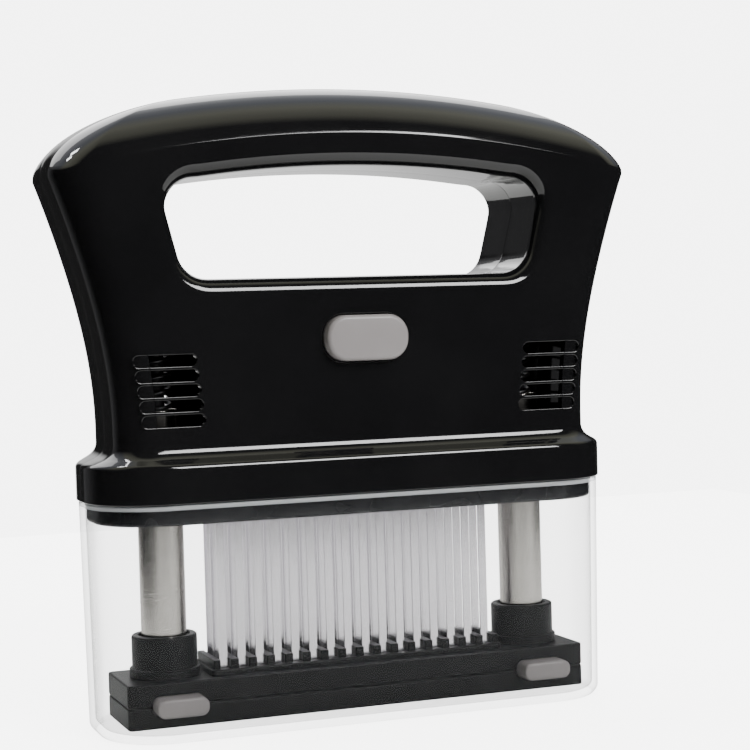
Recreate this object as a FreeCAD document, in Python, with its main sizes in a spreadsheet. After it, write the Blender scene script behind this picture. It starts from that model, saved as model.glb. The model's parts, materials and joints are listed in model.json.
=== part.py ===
import FreeCAD, Part
import math, os
from FreeCAD import Vector as V, Placement, Rotation

# Blade meat tenderizer with a clamshell handle, a spring-loaded foot on two guide
# tubes, 3 rows of blades and a clear pull-off cover.  Millimetres, +Z up, front = -Y.
# Origin: middle of the underside of the clear cover, on which the tool stands.

doc = FreeCAD.newDocument("tenderizer")
sh = doc.addObject("Spreadsheet::Sheet", "dims")
DIM = [
    ("cover_floor", 2.0), ("cover_top_z", 64.9), ("cover_wall", 1.7),
    ("cover_half_w", 77.3), ("cover_half_d", 24.1), ("cover_corner", 20.0),
    ("collar_half_w", 77.9), ("collar_half_d", 24.6), ("collar_corner", 20.4),
    ("collar_z0", 65.2), ("collar_z1", 75.5), ("neck_z", 78.6),
    ("body_half_d", 20.5), ("body_corner", 10.0), ("shell_wall", 2.4),
    ("crease_z", 166.1), ("crease_radius", 340.0), ("crown_radius", 21.6), ("crown_drop", 6.8),
    ("skirt_half_w", 75.2), ("skirt_half_d", 21.9), ("skirt_corner", 18.0),
    ("skirt_z0", 59.2), ("plate_z0", 64.4), ("plate_z1", 67.6), ("skirt_wall", 2.4),
    ("tube_x", 55.5), ("tube_radius", 6.4), ("tube_bore", 5.4), ("tube_z0", 6.0), ("tube_len", 84.0),
    ("bushing_radius", 8.9), ("bushing_bore", 6.45), ("bushing_flange", 10.8),
    ("foot_half_w", 69.3), ("foot_half_d", 12.9), ("foot_z0", 2.5), ("foot_split", 8.6),
    ("foot_top", 15.0), ("boss_radius", 9.25), ("boss_top", 26.8), ("pad_radius", 10.0), ("pad_top", 17.6),
    ("island_half_w", 44.4), ("island_half_d", 10.2), ("island_top", 16.7), ("tooth_top", 19.3),
    ("blade_pitch", 5.36), ("row_pitch", 6.3), ("blade_width", 2.3), ("blade_thick", 0.7),
    ("blade_z0", 5.8), ("blade_z1", 77.0), ("slot_width", 2.9), ("slot_depth", 1.3),
    ("foot_button_x", 55.1), ("foot_button_z", 8.8), ("foot_button_half_w", 7.35), ("foot_button_half_h", 2.6),
    ("foot_button_front", 18.9), ("lock_half_w", 12.1), ("lock_half_h", 6.4), ("lock_front", 24.2), ("lock_z", 108.6),
    ("vent_x", 56.9), ("vent_len", 17.8), ("vent_high", 3.2), ("vent_pitch", 4.1), ("vent_z", 104.0),
    ("hole_fillet", 4.3), ("travel", 27.5), ("bolt_z", 72.5),
]
for i, (n, val) in enumerate(DIM):
    sh.set("A%d" % (i + 1), n)
    sh.set("B%d" % (i + 1), repr(float(val)))
    sh.setAlias("B%d" % (i + 1), n)
doc.recompute()
D = {n: float(sh.get(n)) for n, _ in DIM}
OUT = {}


def bind(obj, **kw):
    for k, e in kw.items():
        k2 = k.replace("__", ".")
        if isinstance(e, str):
            obj.setExpression(k2, e)
        else:
            setattr(obj, k, e)
    return obj


def S(e):
    """sheet names in an expression get their sheet"""
    import re
    return re.sub(r"\b([a-z]+(?:_[a-z0-9]+)+|travel)\b", r"dims.\1", e)


def cyl(name, r, h, pos, axis="z", label=None):
    c = doc.addObject("Part::Cylinder", name)
    c.setExpression("Radius", S(r)); c.setExpression("Height", S(h))
    rot = {"z": Rotation(), "y": Rotation(V(1, 0, 0), -90), "x": Rotation(V(0, 1, 0), 90), "-z": Rotation(V(1, 0, 0), 180)}[axis]
    c.Placement = Placement(V(0, 0, 0), rot)
    for a, e in zip("xyz", pos):
        c.setExpression(".Placement.Base." + a, S(e))
    return c


def box(name, size, pos):
    b = doc.addObject("Part::Box", name)
    for p, e in zip(("Length", "Width", "Height"), size):
        b.setExpression(p, S(e))
    for a, e in zip("xyz", pos):
        b.setExpression(".Placement.Base." + a, S(e))
    return b


def cut(name, a, b):
    c = doc.addObject("Part::Cut", name); c.Base = a; c.Tool = b
    return c


def fuse(name, items):
    c = doc.addObject("Part::MultiFuse", name); c.Shapes = items; c.Refine = True
    return c


def out(obj, label):
    obj.Label = label
    OUT[label] = obj
    return obj


def feature(label, shape):
    f = doc.addObject("Part::Feature", "f_" + label)
    if not shape.Placement.isIdentity():
        shape = baked(shape)
    f.Shape = shape
    f.Placement = Placement()
    return out(f, label)


def baked(shape):
    """the same solid with its place written into its geometry"""
    m = shape.Placement.toMatrix()
    q = shape.copy(); q.Placement = Placement()
    return q.transformGeometry(m)


def plane(body, role):
    for o in body.Origin.OriginFeatures:
        if o.Role == role:
            return o


def body(name):
    return doc.addObject("PartDesign::Body", name)


def rrect(sk, hw, hd, r, cx=0.0, cy=0.0):
    """rounded rectangle centred at cx,cy, driven by names in the sheet"""
    a, b, q = D.get(hw, None), D.get(hd, None), D.get(r, None)
    k = len(sk.Geometry)
    P = []
    for (sx, sy, a0) in ((1, 1, 0), (-1, 1, 90), (-1, -1, 180), (1, -1, 270)):
        c = V(cx + sx * (a - q), cy + sy * (b - q), 0)
        P.append(Part.ArcOfCircle(Part.Circle(c, V(0, 0, 1), q), math.radians(a0), math.radians(a0 + 90)))
    for arc in P:
        sk.addGeometry(arc, False)
    ends = [(p.StartPoint, p.EndPoint) for p in P]
    for i in range(4):
        sk.addGeometry(Part.LineSegment(ends[i][1], ends[(i + 1) % 4][0]), False)
    import Sketcher as K
    for i in range(4):
        sk.addConstraint(K.Constraint("Tangent", k + i, 2, k + 4 + i, 1))
        sk.addConstraint(K.Constraint("Tangent", k + 4 + i, 2, k + (i + 1) % 4, 1))
    for i in range(1, 4):
        sk.addConstraint(K.Constraint("Equal", k, k + i))
    sk.addConstraint(K.Constraint("Horizontal", k + 4))
    sk.addConstraint(K.Constraint("Vertical", k + 5))
    n = sk.addConstraint(K.Constraint("Radius", k, q)); sk.setExpression("Constraints[%d]" % n, "dims." + r)
    n = sk.addConstraint(K.Constraint("DistanceX", -1, 1, k + 7, 1, cx + a)); sk.setExpression("Constraints[%d]" % n, "dims.%s" % hw if not cx else "dims.%s + %r" % (hw, cx))
    n = sk.addConstraint(K.Constraint("DistanceX", k + 5, 1, -1, 1, a - cx)); sk.setExpression("Constraints[%d]" % n, "dims.%s" % hw if not cx else "dims.%s - %r" % (hw, cx))
    n = sk.addConstraint(K.Constraint("DistanceY", -1, 1, k + 4, 1, cy + b)); sk.setExpression("Constraints[%d]" % n, "dims.%s" % hd)
    n = sk.addConstraint(K.Constraint("DistanceY", k + 6, 1, -1, 1, b - cy)); sk.setExpression("Constraints[%d]" % n, "dims.%s" % hd)


def sketch(b, name, role, off):
    sk = b.newObject("Sketcher::SketchObject", name)
    sk.AttachmentSupport = [(plane(b, role), "")]
    sk.MapMode = "FlatFace"
    sk.setExpression(".AttachmentOffset.Base.z", S(off))
    return sk


def pad(b, name, sk, length, rev=False):
    p = b.newObject("PartDesign::Pad", name)
    p.Profile = sk; p.setExpression("Length", S(length)); p.Reversed = rev
    return p


def pocket(b, name, sk, length, rev=False):
    p = b.newObject("PartDesign::Pocket", name)
    p.Profile = sk; p.setExpression("Length", S(length)); p.Reversed = rev
    return p


# ---------------------------------------------------------------- shapes in code
def rr_wire(a, b, r, z, n=0):
    e = []
    pts = []
    for (sx, sy, a0) in ((1, 1, 0), (-1, 1, 90), (-1, -1, 180), (1, -1, 270)):
        c = V(sx * (a - r), sy * (b - r), z)
        arc = Part.ArcOfCircle(Part.Circle(c, V(0, 0, 1), r), math.radians(a0), math.radians(a0 + 90))
        pts.append(arc)
    for i in range(4):
        e.append(pts[i].toShape())
        e.append(Part.LineSegment(pts[i].EndPoint, pts[(i + 1) % 4].StartPoint).toShape())
    return Part.Wire(Part.__sortEdges__(e))


def prism(a, b, r, z0, z1):
    return Part.Face(rr_wire(a, b, r, z0)).extrude(V(0, 0, z1 - z0))


def C(x, y, z, r, length, d=(0, 0, 1)):
    return Part.makeCylinder(r, length, V(x, y, z), V(*d))


# half-width of the handle against height, read off the outline of the housing
FLARE = [(70.0, 71.3), (84.5, 70.7), (92.0, 71.0), (98.0, 71.5), (106.5, 72.7), (115.0, 74.2), (122.0, 75.9),
         (132.5, 79.0), (144.5, 82.6), (156.0, 87.1)]


def arc_z(x, R, top):
    return top - R + math.sqrt(R * R - x * x)


def crown(t):
    """the handle's depth: flat front and back with an arched top, turned about a far axis"""
    R = D["crease_radius"]; yb = D["body_half_d"] - t
    zc = D["crease_z"]; r = D["crown_radius"] - t; zo = zc - D["crown_drop"]
    h = math.sqrt(max(r * r - yb * yb, 0.0))
    a = V(0, -yb, zo + h); b = V(0, yb, zo + h)
    e = [Part.LineSegment(V(0, -yb, 60), a).toShape(), Part.Arc(a, V(0, 0, zo + r), b).toShape(),
         Part.LineSegment(b, V(0, yb, 60)).toShape(), Part.LineSegment(V(0, yb, 60), V(0, -yb, 60)).toShape()]
    f = Part.Face(Part.Wire(Part.__sortEdges__(e)))
    f.rotate(V(0, 0, zc - R), V(0, 1, 0), -22)
    return f.revolve(V(0, 0, zc - R), V(0, 1, 0), 44)


def handle_body(t):
    """level rounded sections that flare upwards, under the arched crown and its rounded ends"""
    yb = D["body_half_d"] - t
    ws = [rr_wire(w - t, yb, D["body_corner"] - t, z) for z, w in FLARE + [(166.0, 88.0), (186.0, 90.0)]]
    s = Part.makeLoft(ws, True, False)
    return s.common(cap(t)).common(crown(t))


def cap(t):
    """front-view outline of the arched top with its rounded ends"""
    R = D["crease_radius"]
    topz = D["crease_z"] + D["crown_radius"] - D["crown_drop"] - t
    xe = 66.5
    end = [V(88.3 - t, 0, 150.0), V(87.4 - t, 0, 157.0), V(84.8 - t * 0.9, 0, 163.2 - t * 0.3), V(78.2 - t * 0.7, 0, 168.6 - t * 0.7), V(xe, 0, arc_z(xe, R + 14.4, topz))]
    b1 = Part.BSplineCurve(); b1.interpolate(end)
    b2 = Part.BSplineCurve(); b2.interpolate([V(-p.x, 0, p.z) for p in end])
    e = [b1.toShape(), b2.toShape(), Part.Arc(end[-1], V(0, 0, topz), V(-xe, 0, end[-1].z)).toShape()]
    q = [end[0], V(120, 0, 150), V(120, 0, 50), V(-120, 0, 50), V(-120, 0, 150), V(-end[0].x, 0, 150)]
    e += [Part.LineSegment(q[i], q[i + 1]).toShape() for i in range(5)]
    f = Part.Face(Part.Wire(Part.__sortEdges__(e))).extrude(V(0, 80, 0))
    f.translate(V(0, -40, 0))
    return f


def lower(t):
    """collar and sloping shoulder under the handle"""
    cw, cd, cr = D["collar_half_w"] - t, D["collar_half_d"] - t, D["collar_corner"] - t
    c = prism(cw, cd, cr, D["collar_z0"], D["collar_z1"])
    w0 = rr_wire(cw, cd, cr, D["collar_z1"])
    w1 = rr_wire(71.0 - t, D["body_half_d"] - t, D["body_corner"] - t, D["neck_z"])
    return c.fuse(Part.makeLoft([w0, w1], True, True))


def hole(off, y0, y1):
    """hand hole, off = distance outwards from its wall"""
    R = 331.0
    pts_w, r = [], 9.0 + off
    x1, z1 = 57.6 + off, 0
    top = 157.1 + off
    bot = 126.0 - off
    # straight slanted sides
    a_top = V(55.8 + off * 1.02, 0, 145.6); a_bot = V(52.3 + off * 1.02, 0, 131.6)
    tx, bx = 46.5, 44.5
    tz = arc_z(tx, R + off, top)
    # corners as arcs through three points
    tc = Part.Arc(V(tx, 0, tz), V(53.3 + off * 0.72, 0, 151.3 + off * 0.70), a_top)
    bc = Part.Arc(a_bot, V(49.8 + off * 0.74, 0, 128.0 - off * 0.67), V(bx, 0, bot))
    e = [Part.Arc(V(-tx, 0, tz), V(0, 0, top), V(tx, 0, tz)).toShape(), tc.toShape(), Part.LineSegment(a_top, a_bot).toShape(), bc.toShape(),
         Part.LineSegment(V(bx, 0, bot), V(-bx, 0, bot)).toShape()]
    mt = Part.Arc(V(-tx, 0, tz), V(-53.3 - off * 0.72, 0, 151.3 + off * 0.70), V(-a_top.x, 0, a_top.z))
    mb = Part.Arc(V(-a_bot.x, 0, a_bot.z), V(-49.8 - off * 0.74, 0, 128.0 - off * 0.67), V(-bx, 0, bot))
    e += [mt.toShape(), Part.LineSegment(V(-a_top.x, 0, a_top.z), V(-a_bot.x, 0, a_bot.z)).toShape(), mb.toShape()]
    f = Part.Face(Part.Wire(Part.__sortEdges__(e)))
    s = f.extrude(V(0, y1 - y0, 0)); s.translate(V(0, y0, 0))
    return s


def stadium(x, z, hw, hh, y0, y1):
    c1 = Part.makeCylinder(hh, y1 - y0, V(x - hw + hh, y0, z), V(0, 1, 0))
    c2 = Part.makeCylinder(hh, y1 - y0, V(x + hw - hh, y0, z), V(0, 1, 0))
    b = Part.makeBox(2 * (hw - hh), y1 - y0, 2 * hh, V(x - hw + hh, y0, z - hh))
    return c1.fuse([c2, b]).removeSplitter()


T = D["shell_wall"]
outer = handle_body(0.0).fuse(lower(0.0)).removeSplitter()
inner = handle_body(T).fuse(lower(T)).fuse(prism(D["collar_half_w"] - T, D["collar_half_d"] - T, D["collar_corner"] - T, D["collar_z0"] - 1, D["collar_z0"] + 1))
inner = inner.cut(hole(T, -30, 30))
h0 = hole(0.0, -30, 30)
SHELL_SCREWS = [(-68.2, 149.0), (68.2, 149.0), (-62.8, 128.0), (62.8, 128.0), (-27.0, 94.0), (27.0, 94.0)]
BASE_SCREWS = [(-36.0, -16.3), (36.0, -16.3), (-36.0, 16.3), (36.0, 16.3)]
bosses = [C(x, -30, z, 3.9, 60, (0, 1, 0)) for x, z in SHELL_SCREWS]
bosses += [C(x, y, D["plate_z1"] + 0.1, 3.4, 12.0) for x, y in BASE_SCREWS]
# ribs over the springs, and ribs that press the blade pack down
for s in (-1, 1):
    bosses.append(Part.makeBox(16, 60, 3.4, V(s * D["tube_x"] - 8, -30, 120.9)))
    bosses.append(Part.makeBox(3, 60, 12.0, V(s * 14.0 - 1.5, -30, D["blade_z1"] + 1.4)))
add = bosses[0].fuse(bosses[1:])
shell = outer.cut(inner).fuse(add.common(outer)).cut(h0)
# sleeve for the stem of the middle button
sleeve = C(0, 1.0, D["lock_z"], 6.0, 30, (0, 1, 0)).common(outer)
shell = shell.fuse(sleeve).cut(C(0, -1, D["lock_z"], 3.3, 18, (0, 1, 0)))
shell = shell.cut(stadium(0, D["lock_z"], D["lock_half_w"] + 0.35, D["lock_half_h"] + 0.35, -30, -17.5))
vents = []
for s in (-1, 1):
    for i in range(5):
        vents.append(stadium(s * (D["vent_x"] + 0.9 - 0.5 * i), D["vent_z"] - D["vent_pitch"] * i, D["vent_len"] / 2, D["vent_high"] / 2, -30, 30))
shell = shell.cut(vents[0].fuse(vents[1:]))
for x, z in SHELL_SCREWS:
    shell = shell.cut([C(x, 0, z, 1.75, 30, (0, 1, 0)), C(x, 10.0, z, 3.1, 30, (0, 1, 0)), C(x, -12.0, z, 1.5, 12.0, (0, 1, 0))])
for x, y in BASE_SCREWS:
    shell = shell.cut(C(x, y, D["plate_z1"], 1.5, 10.0))
big = 200
front = shell.common(Part.makeBox(2 * big, big, 2 * big, V(-big, -big - 0.02, -big)))
rear = shell.common(Part.makeBox(2 * big, big, 2 * big, V(-big, 0.02, -big)))


def biggest(s, name):
    so = sorted(s.Solids, key=lambda q: -q.Volume)
    print(name, "solids", len(so), [round(q.Volume, 1) for q in so[:6]])
    return so[0]


front = biggest(front, "front_shell"); rear = biggest(rear, "rear_shell")


feature("front_shell", front)
feature("rear_shell", rear)


def screw(x, y, z, d, shank, r=1.45, head=2.8, hh=2.0):
    """cross-recessed screw: head at its start, shank towards d"""
    dv = V(*d)
    p = V(x, y, z)
    s = Part.makeCylinder(head, hh, p - dv * hh, dv).fuse(Part.makeCylinder(r, shank, p, dv))
    n = V(0, 0, 1) if abs(dv.z) < 0.5 else V(1, 0, 0)
    m = dv.cross(n)
    for u, w in ((n, m), (m, n)):
        c = p - dv * hh
        pts = [c + u * 1.6 + w * 0.35, c - u * 1.6 + w * 0.35, c - u * 1.6 - w * 0.35, c + u * 1.6 - w * 0.35]
        f = Part.Face(Part.makePolygon(pts + [pts[0]]))
        s = s.cut(f.extrude(dv * 1.1))
    return s.removeSplitter()


feature("shell_screws", Part.makeCompound([screw(x, 10.0, z, (0, -1, 0), 21.0) for x, z in SHELL_SCREWS]))
feature("base_plate_screws", Part.makeCompound([screw(x, y, D["plate_z0"], (0, 0, 1), 12.0) for x, y in BASE_SCREWS]))

# ---------------------------------------------------------------- base plate with its skirt
b = body("base_plate_body")
sk = sketch(b, "skirt_section", "XY_Plane", "skirt_z0"); rrect(sk, "skirt_half_w", "skirt_half_d", "skirt_corner")
pad(b, "skirt_pad", sk, "plate_z1 - skirt_z0")
doc.recompute()
base = b
bp = [base]
under = doc.addObject("Part::Feature", "under_recess")
under.Shape = prism(D["skirt_half_w"] - D["skirt_wall"], D["skirt_half_d"] - D["skirt_wall"], D["skirt_corner"] - D["skirt_wall"], D["skirt_z0"] - 1, D["plate_z0"])
tools = [under]
for s, n in ((-1, "l"), (1, "r")):
    tools.append(cyl("bush_hole_" + n, "bushing_radius", "plate_z1", ("%d * tube_x" % s, "0", "skirt_z0 - 1")))
for k in (-1, 0, 1):
    tools.append(box("blade_gap_%d" % (k + 1), ("87", "blade_thick + 0.7", "plate_z1"), ("-43.5", "%d * row_pitch - blade_thick / 2 - 0.35" % k, "skirt_z0 - 1")))
for i, (x, y) in enumerate(BASE_SCREWS):
    tools.append(cyl("base_screw_hole_%d" % i, "1.75", "30", (repr(x), repr(y), "50")))
out(cut("base_plate_cut", base, fuse("base_plate_tools", tools)), "base_plate")

# ---------------------------------------------------------------- clear cover
sk_o = rr_wire(D["cover_half_w"], D["cover_half_d"], D["cover_corner"], D["cover_top_z"])
sk_b = rr_wire(D["cover_half_w"] - 1.0, D["cover_half_d"] - 1.0, D["cover_corner"] - 1.0, 1.6)
sk_c = rr_wire(D["cover_half_w"] - 2.4, D["cover_half_d"] - 2.4, D["cover_corner"] - 2.4, 0.0)
w = D["cover_wall"]
cin_t = rr_wire(D["cover_half_w"] - w, D["cover_half_d"] - w, D["cover_corner"] - w, D["cover_top_z"])
cin_b = rr_wire(D["cover_half_w"] - 1.0 - w, D["cover_half_d"] - 1.0 - w, D["cover_corner"] - 1.0 - w, D["cover_floor"])
co = Part.makeLoft([sk_b, sk_o], True, True).fuse(Part.makeLoft([sk_c, sk_b], True, True))
ci = Part.makeLoft([cin_b, cin_t], True, True).fuse(Part.Face(cin_t).extrude(V(0, 0, 3)))
feature("clear_cover", co.cut(ci).removeSplitter())

# ---------------------------------------------------------------- foot plates
FB = []
for s, n in ((-1, "l"), (1, "r")):
    x = s * D["foot_button_x"]
    FB.append(stadium(x, D["foot_button_z"], D["foot_button_half_w"] + 0.3, D["foot_button_half_h"] + 0.3, -20, -6.9))
    FB.append(stadium(x, D["foot_button_z"], D["foot_button_half_w"] + 1.5, D["foot_button_half_h"] + 1.3, -11.2, -6.9))
pockets = FB[0].fuse(FB[1:])
blade_holes = []
for i in range(16):
    for k in (-1, 0, 1):
        blade_holes.append(Part.makeBox(D["slot_width"], D["slot_depth"], 40, V((i - 7.5) * D["blade_pitch"] - D["slot_width"] / 2, k * D["row_pitch"] - D["slot_depth"] / 2, 0)))
blade_holes = Part.makeCompound(blade_holes)
pf = doc.addObject("Part::Feature", "button_pockets"); pf.Shape = pockets
hf = doc.addObject("Part::Feature", "blade_holes"); hf.Shape = blade_holes
gaps = []
for i in range(16):
    gaps.append(Part.makeBox(2.5, 30, 10, V((i - 7.5) * D["blade_pitch"] - 1.25, -15, D["island_top"])))
gf = doc.addObject("Part::Feature", "comb_gaps"); gf.Shape = Part.makeCompound(gaps)


def plate(name, z0, z1):
    bb = body(name)
    sk = sketch(bb, name + "_section", "XY_Plane", z0)
    D["plate_corner"] = 1.4
    rrect(sk, "foot_half_w", "foot_half_d", "plate_corner")
    pad(bb, name + "_pad", sk, "%s - %s" % (z1, z0))
    return bb


sh.set("A%d" % (len(DIM) + 1), "plate_corner"); sh.set("B%d" % (len(DIM) + 1), "1.4"); sh.setAlias("B%d" % (len(DIM) + 1), "plate_corner")
doc.recompute()
up = plate("upper_plate_body", "foot_split", "foot_top")
lo = plate("lower_plate_body", "foot_z0", "foot_split - 0.15")
adds = [up]
for s, n in ((-1, "l"), (1, "r")):
    adds.append(cyl("boss_" + n, "boss_radius", "boss_top - foot_top + 1", ("%d * tube_x" % s, "0", "foot_top - 1")))
    adds.append(cyl("boss_pad_" + n, "pad_radius", "pad_top - foot_top + 1", ("%d * tube_x" % s, "0", "foot_top - 1")))
adds.append(box("island", ("2 * island_half_w", "2 * island_half_d", "island_top - foot_top + 1"), ("-island_half_w", "-island_half_d", "foot_top - 1")))
comb = box("comb_block", ("2 * island_half_w - 1.6", "2 * island_half_d - 2.4", "tooth_top - island_top + 1"), ("-island_half_w + 0.8", "-island_half_d + 1.2", "island_top - 1"))
adds.append(cut("comb", comb, gf))
upf = fuse("upper_plate_fused", adds)
ut = [pf, hf]
for s, n in ((-1, "l"), (1, "r")):
    ut.append(cyl("boss_bore_" + n, "tube_radius + 0.05", "40", ("%d * tube_x" % s, "0", "tube_z0 + 4.6")))
    ut.append(cyl("boss_mouth_" + n, "tube_radius + 0.9", "5", ("%d * tube_x" % s, "0", "boss_top - 0.9")))
    ut.append(cyl("anchor_hole_" + n, "1.75", "40", ("%d * tube_x" % s, "0", "0")))
out(cut("upper_plate_cut", upf, fuse("upper_plate_tools", ut)), "upper_foot_plate")
lt = [pf, hf]
for s, n in ((-1, "l"), (1, "r")):
    lt.append(cyl("low_anchor_hole_" + n, "1.75", "40", ("%d * tube_x" % s, "0", "0")))
    lt.append(cyl("low_anchor_head_" + n, "3.2", "3", ("%d * tube_x" % s, "0", "foot_z0 - 1")))
out(cut("lower_plate_cut", lo, fuse("lower_plate_tools", lt)), "lower_foot_plate")
feature("tube_anchor_screws", Part.makeCompound([screw(s * D["tube_x"], 0, D["foot_z0"] + 2.0, (0, 0, 1), 11.0, 1.45, 2.8, 1.6) for s in (-1, 1)]))

# ---------------------------------------------------------------- guide tubes, plugs, stop rings, bushings, springs
for s, n in ((-1, "left"), (1, "right")):
    xs = "%d * tube_x" % s
    to = cyl("tube_outer_" + n, "tube_radius", "tube_len - 4.7", (xs, "0", "tube_z0 + 4.7"))
    ti = cyl("tube_inner_" + n, "tube_bore", "tube_len + 10", (xs, "0", "0"))
    gr = cut("ring_groove_" + n, cyl("groove_o_" + n, "tube_radius + 2", "1.3", (xs, "0", "82.3")), cyl("groove_i_" + n, "tube_radius - 0.45", "3", (xs, "0", "81.5")))
    out(cut("guide_tube_cut_" + n, to, fuse("tube_tools_" + n, [ti, gr])), "guide_tube_" + n)
    pl = cyl("plug_o_" + n, "tube_bore - 0.04", "22", (xs, "0", "tube_z0 + 4.7"))
    ph = cyl("plug_i_" + n, "1.5", "12", (xs, "0", "tube_z0"))
    out(cut("plug_cut_" + n, pl, ph), "tube_plug_" + n)
    bo = fuse("bushing_f_" + n, [cyl("bush_o_" + n, "bushing_radius - 0.05", "81.9 - plate_z0", (xs, "0", "plate_z0")), cyl("bush_fl_" + n, "bushing_flange", "1.8", (xs, "0", "plate_z1 + 0.02"))])
    out(cut("bushing_cut_" + n, bo, cyl("bush_b_" + n, "bushing_bore", "60", (xs, "0", "40"))), "tube_bushing_" + n)
    ro = cyl("ring_o_" + n, "8.4", "1.2", (xs, "0", "82.35"))
    ri = cyl("ring_i_" + n, "tube_radius - 0.40", "3", (xs, "0", "81.9"))
    rg = box("ring_gap_" + n, ("4.2", "12", "3"), (xs + " - 2.1", "-12", "81.9"))
    out(cut("stop_ring_cut_" + n, ro, fuse("ring_tools_" + n, [ri, rg])), "stop_ring_" + n)
    out(fuse("rod_fused_" + n, [cyl("rod_" + n, "2.3", "52", (xs, "0", "68")), cyl("rod_head_" + n, "7.4", "1.8", (xs, "0", "119"))]), "spring_rod_" + n)
    # return spring: closed coil between the plug and the rod's head
    z0, z1 = D["tube_z0"] + 4.7 + 22 + 0.75, 118.25
    turns = 19
    hx = Part.makeHelix((z1 - z0) / turns, z1 - z0, 3.95)
    prof = Part.Wire(Part.makeCircle(0.6, V(3.95, 0, 0), V(0, 1, 0)))
    ps = Part.BRepOffsetAPI.MakePipeShell(Part.Wire(hx.Edges))
    ps.setFrenetMode(True); ps.add(prof); ps.build(); ps.makeSolid()
    sp = ps.shape()
    sp.translate(V(s * D["tube_x"], 0, z0))
    print("spring", n, sp.isValid(), round(sp.Volume, 2))
    feature("return_spring_" + n, sp)

# ---------------------------------------------------------------- blades, in three rows of sixteen
bl = body("blade_body")
skb = sketch(bl, "blade_outline", "XZ_Plane", "0 - blade_thick / 2")
import Sketcher as K
z0, z1, hw = D["blade_z0"], D["blade_z1"], D["blade_width"] / 2
P = [V(-hw, z0 + 3.0, 0), V(hw, z0, 0), V(hw, z1, 0), V(-hw, z1, 0)]
for i in range(4):
    skb.addGeometry(Part.LineSegment(P[i], P[(i + 1) % 4]), False)
for i in range(4):
    skb.addConstraint(K.Constraint("Coincident", i, 2, (i + 1) % 4, 1))
skb.addConstraint(K.Constraint("Vertical", 1)); skb.addConstraint(K.Constraint("Vertical", 3)); skb.addConstraint(K.Constraint("Horizontal", 2))
for con, ex in (((("DistanceX", -1, 1, 1, 1, hw)), "dims.blade_width / 2"), ((("DistanceX", 3, 1, -1, 1, hw)), "dims.blade_width / 2"),
                ((("DistanceY", -1, 1, 1, 1, z0)), "dims.blade_z0"), ((("DistanceY", -1, 1, 2, 1, z1)), "dims.blade_z1"), ((("DistanceY", -1, 1, 0, 1, z0 + 3)), "dims.blade_z0 + 3")):
    n = skb.addConstraint(K.Constraint(*con)); skb.setExpression("Constraints[%d]" % n, ex)
pad(bl, "blade_pad", skb, "blade_thick")
doc.recompute()
bs = bl.Shape.copy(); bs.Placement = Placement()
print("blade box", bs.BoundBox)
bs.translate(V(0, -(bs.BoundBox.YMin + bs.BoundBox.YMax) / 2, 0))
for k, n in ((-1, "front"), (0, "middle"), (1, "rear")):
    cs = []
    for i in range(16):
        q = bs.copy(); q.translate(V((i - 7.5) * D["blade_pitch"], k * D["row_pitch"], 0)); cs.append(q)
    feature("blade_row_" + n, Part.makeCompound(cs))

# blade pack: four bars with the rows between them, drawn together by three bolts
th = "blade_thick / 2 + 0.02"
bolt_x = [-5 * D["blade_pitch"], 0.0, 5 * D["blade_pitch"]]
bolt_tools = []
for i, x in enumerate(bolt_x):
    bolt_tools.append(cyl("bolt_bore_%d" % i, "1.3", "60", (repr(x), "-30", "bolt_z"), "y"))
bt = fuse("bolt_bores", bolt_tools)
z_lo, z_hi = "plate_z1 + 0.05", "blade_z1 + 1.2 - plate_z1"
fb = box("bar_front", ("87", "5.2", z_hi), ("-43.5", "-row_pitch - 5.2 - (%s)" % th, z_lo))
rb = box("bar_rear", ("87", "5.2", z_hi), ("-43.5", "row_pitch + (%s)" % th, z_lo))
sb = box("bar_mid_f", ("87", "row_pitch - 2 * (%s)" % th, z_hi), ("-43.5", "-row_pitch + (%s)" % th, z_lo))
sr = box("bar_mid_r", ("87", "row_pitch - 2 * (%s)" % th, z_hi), ("-43.5", "(%s)" % th, z_lo))
out(cut("bar_front_cut", fb, bt), "blade_bar_front")
out(cut("bar_rear_cut", rb, bt), "blade_bar_rear")
out(cut("spacer_f_cut", sb, bt), "blade_spacer_front")
out(cut("spacer_r_cut", sr, bt), "blade_spacer_rear")
ye = D["row_pitch"] + 5.2 + D["blade_thick"] / 2 + 0.02
feature("blade_pack_bolts", Part.makeCompound([screw(x, -ye, D["bolt_z"], (0, 1, 0), 2 * ye + 2.6, 1.25, 2.5, 1.8) for x in bolt_x]))
nuts = []
for x in bolt_x:
    pts = [V(x + 2.9 * math.cos(math.radians(60 * i)), ye, D["bolt_z"] + 2.9 * math.sin(math.radians(60 * i))) for i in range(7)]
    nuts.append(Part.Face(Part.makePolygon(pts)).extrude(V(0, 2.2, 0)).cut(C(x, ye - 1, D["bolt_z"], 1.28, 5, (0, 1, 0))))
feature("blade_pack_nuts", Part.makeCompound(nuts))

# ---------------------------------------------------------------- push buttons
def soft_button(name, x, z, hw, hh, front, flange_y, flange_t, grow, stem_r, stem_end, r):
    s = stadium(x, z, hw, hh, -front, flange_y)
    e = [q for q in s.Edges if abs(q.BoundBox.YMin + front) < 1e-6 and abs(q.BoundBox.YMax + front) < 1e-6]
    s = s.makeFillet(r, e)
    s = s.fuse(stadium(x, z, hw + grow, hh + grow * 0.8, flange_y, flange_y + flange_t))
    s = s.fuse(C(x, flange_y, z, stem_r, stem_end - flange_y, (0, 1, 0)))
    feature(name, s.removeSplitter())


soft_button("lock_button", 0, D["lock_z"], D["lock_half_w"], D["lock_half_h"], D["lock_front"], -17.2, 1.6, 1.4, 3.25, 6.0, 1.6)
for s, n in ((-1, "left"), (1, "right")):
    soft_button("foot_button_" + n, s * D["foot_button_x"], D["foot_button_z"], D["foot_button_half_w"], D["foot_button_half_h"], D["foot_button_front"], -10.6, 1.0, 0.8, 1.2, -8.6, 0.9)


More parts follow.
